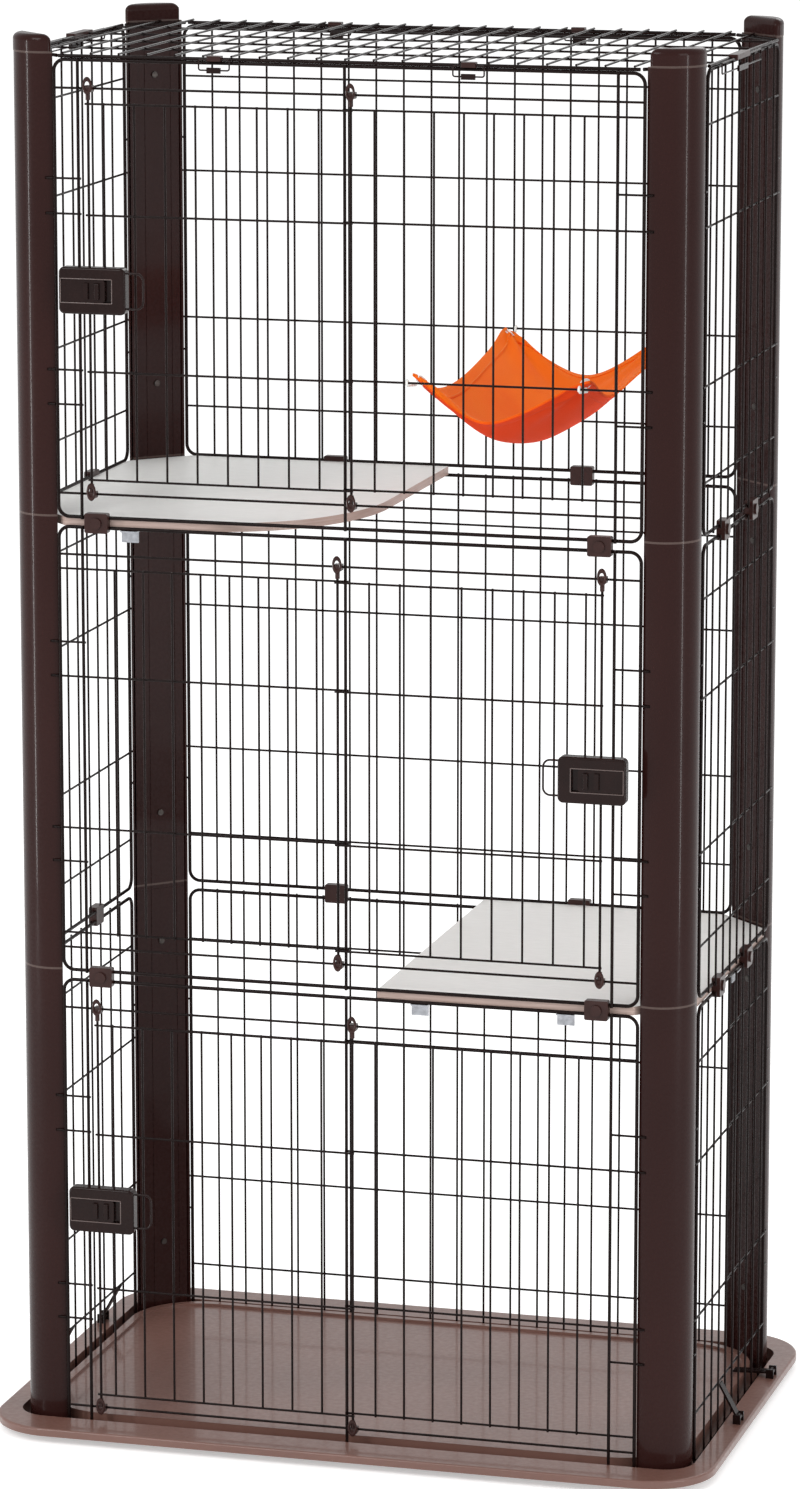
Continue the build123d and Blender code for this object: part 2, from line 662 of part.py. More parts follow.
# Roof latches: a plastic block on the roof's edge wire, and a wire bail with a tab that swings on it
block_x = 4.5 * roof_pitch
latch_spots = [("front_left", (-block_x - 2.5, -front_y), 0, roof_bail_half, roof_block_half),
               ("front_right", (block_x - 6.0, -front_y), 0, roof_bail_half, roof_block_half),
               ("back_left", (-block_x - 4.8, front_y), 180, roof_bail_half, roof_block_half),
               ("back_right", (block_x - 3.0, front_y), 180, roof_bail_half, roof_block_half),
               ("left", (-side_x, 33.0), -90, side_bail_half, side_block_half),
               ("right", (side_x, -45.0), 90, side_bail_half, side_block_half)]
pivot_out = frame_r + 5.0
block_low = -frame_r + 0.3


def make_block(half):
    """The latch block around the roof's edge wire, with its pin holes."""
    outer = pivot_out + 3.0
    with BuildPart() as block:
        with Locations((0, -(outer - frame_r) / 2, (roof_block_top + block_low) / 2)):
            Box(2 * half, outer + frame_r, roof_block_top - block_low)
        fillet(block.edges().filter_by(Axis.Z), 1.5)
        wires([(0, 0, 0)], frame_r + weld_gap, 2 * half, "x", Mode.SUBTRACT)
        wires([(0, -pivot_out, 0)], roof_pin / 2 + 0.1, 2 * half, "x", Mode.SUBTRACT)
    return block.part


def make_bail(half, block):
    """The swinging bail: its two ends turn in the block, and a finger tab sits on its foot."""
    inset = block - 2.0
    with BuildPart() as bail:
        plane = Plane(origin=(0, -pivot_out, 0), x_dir=(1, 0, 0), z_dir=(0, -1, 0))
        with BuildLine(plane) as loop:
            FilletPolyline((-inset, 0), (-half, 0), (-half, -roof_bail_drop), (half, -roof_bail_drop),
                           (half, 0), (inset, 0), radius=2.6)
        with BuildSketch(Plane(origin=loop.line @ 0, z_dir=loop.line % 0)):
            Circle(roof_pin / 2)
        sweep(path=loop.line)
        with Locations((0, -pivot_out - 1.4, -roof_bail_drop)):
            Box(min(half, 56.0) * 0.9, 3.0, 7.0)
    return bail.part


blocks = []
for spot, (x, y), turn, half, block in latch_spots:
    place_at = Location((x, y, roof_z), (0, 0, turn))
    blocks.append(make_block(block).moved(place_at))
    save(make_bail(half, block).moved(place_at), f"roof_bail_{spot}")
save(Compound(label="roof_latch_blocks", children=blocks), "roof_latch_blocks")
print("top", cap_z + cap_height, "tiers", [round(b, 2) for b in tier_bottoms])
print("arms", round(hinge_x, 2), round(hinge_z, 2), round(strut_angle, 2), round(lip_angle, 2))
print("doors", -front_y - door_y, "travel", door_travel, "bail", -front_y - (door_row_y + grid_r + bail_wire))
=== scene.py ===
"""Dresses the tiered cat cage: its finishes, the hammock's cloth and the small trim.

Metres, +Z up, doors towards -Y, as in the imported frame.
"""
from __future__ import annotations

import json
import logging
import math
from dataclasses import dataclass, field
from enum import Enum

import bmesh
import bpy
from mathutils import Matrix, Vector


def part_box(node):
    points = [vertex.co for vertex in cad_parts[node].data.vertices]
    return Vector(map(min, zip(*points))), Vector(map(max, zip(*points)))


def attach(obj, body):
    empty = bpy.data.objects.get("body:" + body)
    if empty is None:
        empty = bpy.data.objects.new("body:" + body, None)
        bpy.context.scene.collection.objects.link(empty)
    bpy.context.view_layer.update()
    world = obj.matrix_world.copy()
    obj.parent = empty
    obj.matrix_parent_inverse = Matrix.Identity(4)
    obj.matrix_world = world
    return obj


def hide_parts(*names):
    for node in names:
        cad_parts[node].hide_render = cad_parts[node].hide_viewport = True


LOG = logging.getLogger("cat_cage")
Colour = tuple[float, float, float]
Point = tuple[float, float, float]
Pair = tuple[float, float]

# The part of a noise pattern's own range that is spread over a finish's range.
NOISE_RANGE: Pair = (0.3, 0.7)
# A moulding's smoothest and roughest patches, as shares of its mean roughness.
UNEVEN_GLOSS: Pair = (0.85, 1.18)
# How often those patches come, as a share of the grain.
GLOSS_PATCHES = 0.2
COAT_ROUGHNESS = 0.08
MERGE_DISTANCE = 1e-6
# What keeps a power and a division off zero.
TINY = 1e-6
WHITE = (1.0, 1.0, 1.0, 1.0)
# The cloth's folds stay soft up to this angle, in degrees.
CLOTH_CREASE = 80.0
# The cloth's corners, across and along.
CORNERS = ((-1.0, -1.0), (-1.0, 1.0), (1.0, -1.0), (1.0, 1.0))

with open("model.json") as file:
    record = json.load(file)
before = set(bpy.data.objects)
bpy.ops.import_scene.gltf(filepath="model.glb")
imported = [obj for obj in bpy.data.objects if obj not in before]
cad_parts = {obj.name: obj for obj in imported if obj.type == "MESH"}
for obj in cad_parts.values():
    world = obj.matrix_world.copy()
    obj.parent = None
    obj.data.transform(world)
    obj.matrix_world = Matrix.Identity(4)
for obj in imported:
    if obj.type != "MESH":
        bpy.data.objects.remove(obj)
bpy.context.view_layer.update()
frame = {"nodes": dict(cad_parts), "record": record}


class Slot(Enum):
    """The record's material slots."""

    WIRE = "coated_wire"
    POST = "post_plastic"
    TRAY = "tray_plastic"
    CLIP = "clip_plastic"
    LATCH = "latch_plastic"
    LAMINATE = "laminate"
    ZINC = "zinc"
    SCREW = "screw_steel"
    WHITE = "white_plastic"
    CANVAS = "canvas"


class Opens(Enum):
    """The way in which a door slides open, as the sign of its travel along X."""

    RIGHT = 1
    LEFT = -1


class Graph:
    """A material's node tree, with short calls that add and join its nodes."""

    def __init__(self, material: bpy.types.Material) -> None:
        """Starts the tree with a surface shader and its output.

        Args:
            material: The material whose nodes are made.
        """
        material.use_nodes = True
        self.tree = material.node_tree
        self.tree.nodes.clear()
        self.surface = self.add("ShaderNodeBsdfPrincipled")
        output = self.add("ShaderNodeOutputMaterial")
        self.join(self.surface, "BSDF", output, "Surface")

    def add(self, kind: str, **settings: object) -> bpy.types.Node:
        """Adds one node.

        Args:
            kind: The node's type name.
            **settings: Properties to set on it.

        Returns:
            The new node.
        """
        node = self.tree.nodes.new(kind)
        for name, value in settings.items():
            setattr(node, name, value)
        return node

    def join(self, source: bpy.types.Node, out: str, target: bpy.types.Node, into: str) -> None:
        """Links a named output to a named input.

        Args:
            source: The node that gives the value.
            out: Its output's name.
            target: The node that takes the value.
            into: Its input's name.
        """
        self.tree.links.new(source.outputs[out], target.inputs[into])

    def set(self, **values: object) -> None:
        """Sets the surface shader's sockets, with underscores for spaces in their names.

        Args:
            **values: Socket values by name.
        """
        for name, value in values.items():
            self.surface.inputs[name.replace("_", " ")].default_value = value

    def place(
        self, stretch: Point = (1.0, 1.0, 1.0), output: str = "Object"
    ) -> bpy.types.Node:
        """Gives coordinates on the piece, stretched along its axes.

        Args:
            stretch: The scale along each axis.
            output: Which of the piece's coordinates to read.

        Returns:
            The mapping node that holds them.
        """
        coordinates = self.add("ShaderNodeTexCoord")
        mapping = self.add("ShaderNodeMapping")
        mapping.inputs["Scale"].default_value = stretch
        self.join(coordinates, output, mapping, "Vector")
        return mapping

    def split(self, source: bpy.types.Node, out: str) -> bpy.types.Node:
        """Splits a vector into its axes.

        Args:
            source: The node with the vector.
            out: Its output's name.

        Returns:
            The node whose outputs are X, Y and Z.
        """
        node = self.add("ShaderNodeSeparateXYZ")
        self.join(source, out, node, "Vector")
        return node

    def noise(
        self, place: bpy.types.Node, scale: float, detail: float = 2.0
    ) -> bpy.types.Node:
        """Adds a noise pattern at the given coordinates.

        Args:
            place: The mapping node that gives coordinates.
            scale: How many features there are in a metre.
            detail: How many finer layers it has.

        Returns:
            The noise node.
        """
        node = self.add("ShaderNodeTexNoise")
        node.inputs["Scale"].default_value = scale
        node.inputs["Detail"].default_value = detail
        self.join(place, "Vector", node, "Vector")
        return node

    def spread(
        self,
        source: bpy.types.Node,
        out: str,
        low: float,
        high: float,
        reads: Pair = NOISE_RANGE,
    ) -> bpy.types.Node:
        """Maps a pattern onto a range.

        Args:
            source: The node with the pattern.
            out: Its output's name.
            low: The value at the pattern's low end.
            high: The value at its high end.
            reads: The pattern's low and high ends.

        Returns:
            The node with the mapped value, whose output is named Result.
        """
        node = self.add("ShaderNodeMapRange")
        node.inputs["From Min"].default_value = reads[0]
        node.inputs["From Max"].default_value = reads[1]
        node.inputs["To Min"].default_value = low
        node.inputs["To Max"].default_value = high
        self.join(source, out, node, "Value")
        return node

    def blend(
        self, factor: bpy.types.Node, out: str, first: Colour, second: Colour
    ) -> bpy.types.Node:
        """Mixes two colours by a pattern.

        Args:
            factor: The node that gives the share of the second colour.
            out: Its output's name.
            first: The colour at 0.
            second: The colour at 1.

        Returns:
            The mix node, whose output is named Color.
        """
        node = self.add("ShaderNodeMixRGB")
        node.inputs["Color1"].default_value = (*first, 1.0)
        node.inputs["Color2"].default_value = (*second, 1.0)
        self.join(factor, out, node, "Fac")
        return node

    def bump(self, height: bpy.types.Node, out: str, strength: float, distance: float) -> None:
        """Gives the surface a relief.

        Args:
            height: The node with the relief's pattern.
            out: Its output's name.
            strength: The share of the relief that is used.
            distance: The relief's depth in metres.
        """
        node = self.add("ShaderNodeBump")
        node.inputs["Strength"].default_value = strength
        node.inputs["Distance"].default_value = distance
        self.join(height, out, node, "Height")
        self.join(node, "Normal", self.surface, "Normal")


@dataclass(frozen=True)
class Finish:
    """A surface finish, which makes its material once.

    Attributes:
        name: The material's name.
    """

    name: str

    def material(self) -> bpy.types.Material:
        """Makes this finish's material on first use.

        Returns:
            The material.
        """
        found = bpy.data.materials.get(self.name)
        if found is None:
            found = bpy.data.materials.new(self.name)
            self.shade(Graph(found))
        return found

    def shade(self, graph: Graph) -> None:
        """Fills in the material's nodes.

        Args:
            graph: The material's node tree.
        """
        raise NotImplementedError


@dataclass(frozen=True)
class Moulded(Finish):
    """Moulded plastic or a smooth coating.

    Attributes:
        colour: The main colour.
        tone: The colour that it drifts to.
        roughness: The mean roughness.
        grain: Fine surface features in a metre.
        relief: The grain's depth in metres.
        coat: The weight of the gloss on top.
        drift: Soft colour patches in a metre.
        shine: The strength of its reflections, where 0.5 is plain plastic.
    """

    colour: Colour
    tone: Colour
    roughness: float
    grain: float
    relief: float
    coat: float = 0.0
    drift: float = 9.0
    shine: float = 0.5

    def shade(self, graph: Graph) -> None:
        """Builds the drift of colour, the uneven gloss and the grain.

        Args:
            graph: The material's node tree.
        """
        place = graph.place()
        drift = graph.noise(place, self.drift, detail=3.0)
        share = graph.spread(drift, "Fac", 0.0, 1.0)
        colour = graph.blend(share, "Result", self.colour, self.tone)
        graph.join(colour, "Color", graph.surface, "Base Color")
        uneven = graph.noise(place, self.grain * GLOSS_PATCHES)
        low, high = (self.roughness * part for part in UNEVEN_GLOSS)
        gloss = graph.spread(uneven, "Fac", low, high)
        graph.join(gloss, "Result", graph.surface, "Roughness")
        grain = graph.noise(place, self.grain)
        graph.bump(grain, "Fac", strength=0.6, distance=self.relief)
        graph.set(
            Metallic=0.0,
            Coat_Weight=self.coat,
            Coat_Roughness=COAT_ROUGHNESS,
            Specular_IOR_Level=self.shine,
        )


@dataclass(frozen=True)
class Jointed(Moulded):
    """Moulded plastic with a paler line of painted highlight at each joint between stacked
    posts.

    Attributes:
        joints: The joints' heights in metres, with the caps' last.
        line: Half the line's height in metres.
        joint_highlight: The line's colour, a painted highlight.
    """

    joints: tuple[float, ...] = (0.60995, 1.18995, 1.76495)
    line: float = 0.0013
    joint_highlight: Colour = (0.090, 0.062, 0.055)

    def shade(self, graph: Graph) -> None:
        """Builds the moulding's surface and then the painted highlight lines at its joints.

        Args:
            graph: The material's node tree.
        """
        super().shade(graph)
        axes = graph.split(graph.place(), "Vector")
        plain = graph.surface.inputs["Base Color"].links[0].from_socket
        # A paler line at each joint paints the highlight on the joint's edge.
        for joint in self.joints:
            near = graph.add("ShaderNodeMath", operation="COMPARE")
            graph.tree.links.new(axes.outputs["Z"], near.inputs[0])
            near.inputs[1].default_value = joint
            near.inputs[2].default_value = self.line
            lined = graph.add("ShaderNodeMixRGB")
            graph.join(near, "Value", lined, "Fac")
            graph.tree.links.new(plain, lined.inputs["Color1"])
            lined.inputs["Color2"].default_value = (*self.joint_highlight, 1.0)
            plain = lined.outputs["Color"]
        graph.tree.links.new(plain, graph.surface.inputs["Base Color"])


@dataclass(frozen=True)
class Brushed(Finish):
    """Plated or plain steel with drawn marks.

    Attributes:
        colour: The metal's colour.
        roughness: The mean roughness.
        drawn: How the marks are stretched along each axis.
        spangle: The plating's patches in a metre.
        dark: The darkest patch's share of the colour.
        uneven: The smoothest and the roughest marks, as shares of the mean.
    """

    colour: Colour
    roughness: float
    drawn: Point = (40.0, 40.0, 600.0)
    spangle: float = 160.0
    dark: float = 0.72
    uneven: Pair = (0.7, 1.4)

    def shade(self, graph: Graph) -> None:
        """Builds the drawn marks and the plating's spangle.

        Args:
            graph: The material's node tree.
        """
        marks = graph.noise(graph.place(self.drawn), scale=2.0, detail=4.0)
        spangle = graph.noise(graph.place(), self.spangle, detail=1.0)
        darker = tuple(channel * self.dark for channel in self.colour)
        share = graph.spread(spangle, "Fac", 0.0, 1.0)
        colour = graph.blend(share, "Result", self.colour, darker)
        graph.join(colour, "Color", graph.surface, "Base Color")
        low, high = (self.roughness * part for part in self.uneven)
        gloss = graph.spread(marks, "Fac", low, high)
        graph.join(gloss, "Result", graph.surface, "Roughness")
        graph.bump(marks, "Fac", strength=0.4, distance=0.00005)
        graph.set(Metallic=1.0)


@dataclass(frozen=True)
class Laminate(Finish):
    """Faced board: a pale face with a fine pore and banded edges of another colour.

    Attributes:
        face: The face's colour.
        band: The edge banding's colour.
        band_tone: The streaks in the banding.
        streaks: How the banding's streaks are stretched along each axis.
        pores: How the face's pores are stretched along each axis.
        shade_share: The pores' share of the face's colour.
    """

    face: Colour = (0.8, 0.8, 0.78)
    band: Colour = (0.48, 0.36, 0.32)
    band_tone: Colour = (0.38, 0.27, 0.23)
    streaks: Point = (6.0, 6.0, 220.0)
    pores: Point = (1.0, 12.0, 1.0)
    shade_share: float = 0.93

    def shade(self, graph: Graph) -> None:
        """Builds the face, and the banding wherever the board's side faces sideways.

        Args:
            graph: The material's node tree.
        """
        axes = graph.split(graph.add("ShaderNodeNewGeometry"), "Normal")
        flat = graph.add("ShaderNodeMath", operation="ABSOLUTE")
        graph.join(axes, "Z", flat, "Value")
        streaks = graph.noise(graph.place(self.streaks), scale=3.0, detail=4.0)
        streak_share = graph.spread(streaks, "Fac", 0.0, 1.0)
        band = graph.blend(streak_share, "Result", self.band, self.band_tone)
        pores = graph.noise(graph.place(self.pores), scale=60.0, detail=4.0)
        darker = tuple(channel * self.shade_share for channel in self.face)
        pore_share = graph.spread(pores, "Fac", 0.0, 1.0)
        face = graph.blend(pore_share, "Result", self.face, darker)
        both = graph.add("ShaderNodeMixRGB")
        graph.join(flat, "Value", both, "Fac")
        graph.join(band, "Color", both, "Color1")
        graph.join(face, "Color", both, "Color2")
        graph.join(both, "Color", graph.surface, "Base Color")
        gloss = graph.spread(pores, "Fac", low=0.38, high=0.5)
        graph.join(gloss, "Result", graph.surface, "Roughness")
        graph.bump(pores, "Fac", strength=0.3, distance=0.0001)


@dataclass(frozen=True)
class Woven(Finish):
    """Plain woven canvas, whose threads follow the cloth's own UV map in metres.

    Attributes:
        colour: The threads' colour on the side that faces up.
        tone: The colour of the soft patches that drift at random over the cloth.
        under: The darker, redder colour of painted shade on the side that faces down.
        pitch: The distance from thread to thread in metres.
        turn: Over which slopes the upper colour gives way to the painted shade of the lower one.
        depth: The share of the weave's own shading.
    """

    colour: Colour = (1.0, 0.190, 0.004)
    tone: Colour = (0.96, 0.135, 0.003)
    under: Colour = (0.90, 0.058, 0.004)
    pitch: float = 0.0009
    turn: Pair = (-0.12, 0.12)
    depth: float = 0.08

    def threads(self, graph: Graph, place: bpy.types.Node) -> bpy.types.Node:
        """Builds the two crossing sets of threads.

        Args:
            graph: The material's node tree.
            place: The mapping node with the cloth's UV map.

        Returns:
            The node with the weave's height, whose output is named Value.
        """
        weave = graph.add("ShaderNodeMath", operation="MULTIPLY")
        for index, direction in enumerate(("X", "Y")):
            wave = graph.add("ShaderNodeTexWave", wave_type="BANDS", bands_direction=direction)
            # The wave texture's bands repeat every tau / 20 of its scaled coordinate.
            wave.inputs["Scale"].default_value = math.tau / 20.0 / self.pitch
            wave.inputs["Distortion"].default_value = 0.6
            wave.inputs["Detail Scale"].default_value = 2.0
            graph.join(place, "Vector", wave, "Vector")
            graph.tree.links.new(wave.outputs["Fac"], weave.inputs[index])
        return weave

    def shade(self, graph: Graph) -> None:
        """Builds the threads, the two sides' colours, the lower one a painted shade, and the
        cloth's soft patches.

        Args:
            graph: The material's node tree.
        """
        place = graph.place(output="UV")
        weave = self.threads(graph, place)
        patches = graph.noise(place, scale=14.0, detail=4.0)
        share = graph.spread(patches, "Fac", low=0.0, high=0.7)
        soft = graph.blend(share, "Result", self.colour, self.tone)
        # Painted shade: faces that turn downwards take the darker under colour, and upward faces
        # the lit colour.
        axes = graph.split(graph.add("ShaderNodeNewGeometry"), "Normal")
        painted_light_by_slope = graph.spread(axes, "Z", 0.0, 1.0, self.turn)
        sides = graph.add("ShaderNodeMixRGB")
        sides.inputs["Color1"].default_value = (*self.under, 1.0)
        graph.join(painted_light_by_slope, "Result", sides, "Fac")
        graph.join(soft, "Color", sides, "Color2")
        shaded = graph.add("ShaderNodeMixRGB", blend_type="MULTIPLY")
        shaded.inputs["Fac"].default_value = self.depth
        graph.join(sides, "Color", shaded, "Color1")
        graph.join(weave, "Value", shaded, "Color2")
        graph.join(shaded, "Color", graph.surface, "Base Color")
        graph.bump(weave, "Value", strength=0.5, distance=0.0003)
        graph.set(
            Roughness=0.85,
            Specular_IOR_Level=0.2,
            Sheen_Weight=0.02,
            Sheen_Roughness=0.4,
        )


FINISHES: dict[Slot, Finish] = {
    Slot.WIRE: Moulded(
        "Brown coated wire",
        colour=(0.006, 0.0026, 0.0022),
        tone=(0.010, 0.0046, 0.004),
        roughness=0.26,
        grain=1400.0,
        relief=0.00004,
        coat=0.05,
        drift=25.0,
        shine=0.07,
    ),
    Slot.POST: Jointed(
        "Espresso glossy moulding",
        colour=(0.020, 0.0058, 0.0050),
        tone=(0.027, 0.0084, 0.0072),
        roughness=0.27,
        grain=1100.0,
        relief=0.000004,
        coat=0.14,
        drift=3.0,
        shine=0.06,
    ),
    Slot.TRAY: Moulded(
        "Mocha grained moulding",
        colour=(0.146, 0.070, 0.054),
        tone=(0.178, 0.088, 0.069),
        roughness=0.40,
        grain=700.0,
        relief=0.00016,
        coat=0.35,
        drift=5.0,
        shine=0.4,
    ),
    Slot.CLIP: Moulded(
        "Brown clip moulding",
        colour=(0.026, 0.0095, 0.008),
        tone=(0.038, 0.015, 0.013),
        roughness=0.32,
        grain=1200.0,
        relief=0.00005,
        coat=0.12,
        drift=40.0,
        shine=0.15,
    ),
    Slot.LATCH: Moulded(
        "Brown latch moulding",
        colour=(0.010, 0.0036, 0.003),
        tone=(0.014, 0.0052, 0.0045),
        roughness=0.26,
        grain=1200.0,
        relief=0.00001,
        coat=0.16,
        drift=30.0,
        shine=0.08,
    ),
    Slot.LAMINATE: Laminate("Pale faced board"),
    Slot.ZINC: Brushed("Zinc plated steel", (0.40, 0.41, 0.44), 0.30),
    Slot.SCREW: Brushed("Screw steel", (0.085, 0.075, 0.07), 0.45),
    Slot.WHITE: Moulded(
        "White glossy plastic",
        colour=(0.80, 0.80, 0.77),
        tone=(0.74, 0.74, 0.71),
        roughness=0.30,
        grain=900.0,
        relief=0.00004,
        coat=0.3,
        drift=60.0,
    ),
    Slot.CANVAS: Woven("Orange canvas"),
}
THREAD = Moulded(
    "Orange thread",
    colour=(0.90, 0.30, 0.06),
    tone=(0.80, 0.22, 0.04),
    roughness=0.8,
    grain=3000.0,
    relief=0.0002,
)
# The bezel's paler brown is painted highlight on the latch's raised edges; the latch itself is
# the darker brown.
BEZEL_HIGHLIGHT = Moulded(
    "Latch edge moulding",
    colour=(0.085, 0.055, 0.050),
    tone=(0.110, 0.075, 0.068),
    roughness=0.34,
    grain=1200.0,
    relief=0.00004,
    coat=0.3,
    drift=30.0,
)


def finish_piece(
    name: str,
    mesh: bmesh.types.BMesh,
    finish: Finish,
    body: str,
    crease: float = 35.0,
) -> bpy.types.Object:
    """Turns a bmesh into a finished piece that rides on a body.

    Args:
        name: The piece's name.
        mesh: Its shape, in the object's frame, which is freed here.
        finish: Its surface.
        body: The CAD body that it moves with.
        crease: Edges sharper than this angle, in degrees, stay crisp.

    Returns:
        The new object.
    """
    bmesh.ops.remove_doubles(mesh, verts=mesh.verts[:], dist=MERGE_DISTANCE)
    bmesh.ops.recalc_face_normals(mesh, faces=mesh.faces[:])
    for face in mesh.faces:
        face.smooth = True
    for edge in mesh.edges:
        edge.smooth = edge.calc_face_angle(0.0) < math.radians(crease)
    data = bpy.data.meshes.new(name)
    mesh.to_mesh(data)
    mesh.free()
    data.materials.append(finish.material())
    piece = bpy.data.objects.new(name, data)
    bpy.context.scene.collection.objects.link(piece)
    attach(piece, body)
    LOG.info("%s: %d faces on %s", name, len(data.polygons), body)
    return piece


def add_ring(
    mesh: bmesh.types.BMesh,
    centre: Vector,
    axis: Vector,
    radius: float,
    wire: float,
    stretch: Point = (1.0, 1.0, 1.0),
    steps: int = 24,
    sides: int = 8,
) -> None:
    """Adds a closed ring of round wire.

    Args:
        mesh: The mesh that gets it.
        centre: The ring's middle.
        axis: The ring's axis.
        radius: From the middle to the wire's centre.
        wire: The wire's radius.
        stretch: A scale in the world's axes, which makes the ring oval.
        steps: Divisions round the ring.
        sides: Divisions round the wire.
    """
    turn = Matrix.Translation((radius, 0.0, 0.0)) @ Matrix.Rotation(math.pi / 2, 4, "X")
    loop = bmesh.ops.create_circle(mesh, segments=sides, radius=wire, matrix=turn)["verts"]
    edges = list(dict.fromkeys(edge for vert in loop for edge in vert.link_edges))
    before = set(mesh.verts) - set(loop)
    bmesh.ops.spin(
        mesh,
        geom=list(loop) + edges,
        cent=(0.0, 0.0, 0.0),
        axis=(0.0, 0.0, 1.0),
        angle=math.tau,
        steps=steps,
        use_merge=True,
    )
    made = [vert for vert in mesh.verts if vert not in before]
    aim = Vector((0.0, 0.0, 1.0)).rotation_difference(axis).to_matrix().to_4x4()
    bmesh.ops.transform(mesh, matrix=aim, verts=made)
    bmesh.ops.scale(mesh, vec=stretch, verts=made)
    bmesh.ops.translate(mesh, vec=centre, verts=made)


def add_block(
    mesh: bmesh.types.BMesh, centre: Vector, size: Vector, edge: float, segments: int = 2
) -> None:
    """Adds a block with rounded edges.

    Args:
        mesh: The mesh that gets it.
        centre: The block's middle.
        size: Its length along each axis.
        edge: The radius of its edges.
        segments: Divisions of each rounded edge.
    """
    made = bmesh.ops.create_cube(mesh, size=1.0)["verts"]
    bmesh.ops.scale(mesh, vec=size, verts=made)
    bmesh.ops.translate(mesh, vec=centre, verts=made)
    bmesh.ops.bevel(
        mesh,
        geom=list(dict.fromkeys(edge for vert in made for edge in vert.link_edges)),
        offset=edge,
        segments=segments,
        affect="EDGES",
        profile=0.5,
        material=-1,
    )


@dataclass
class CarriedNodes:
    """The CAD nodes that show as they are, each dressed in its slot's finish.

    Attributes:
        slots: The material slot of each node, read from the record.
    """

    slots: dict[str, str] = field(default_factory=dict)

    def dress(self) -> None:
        """Gives each node the material of its slot in the record."""
        for entry in frame["record"]["subparts"]:
            self.slots[entry["node"]] = entry["material_slot"]
        for name, node in frame["nodes"].items():
            material = FINISHES[Slot(self.slots[name])].material()
            if not node.material_slots:
                node.data.materials.append(material)
            for place in node.material_slots:
                place.material = material
        LOG.info("dressed %d nodes", len(self.slots))


def stations(count: int) -> list[float]:
    """Gives evenly spaced places from -1 to 1.

    Args:
        count: How many places.

    Returns:
        The places, with both ends.
    """
    return [-1.0 + 2.0 * k / (count - 1) for k in range(count)]


def run_length(points: list[Vector]) -> float:
    """Measures a line through points.

    Args:
        points: The points in order.

    Returns:
        The line's length in metres.
    """
    return sum((b - a).length for a, b in zip(points, points[1:]))


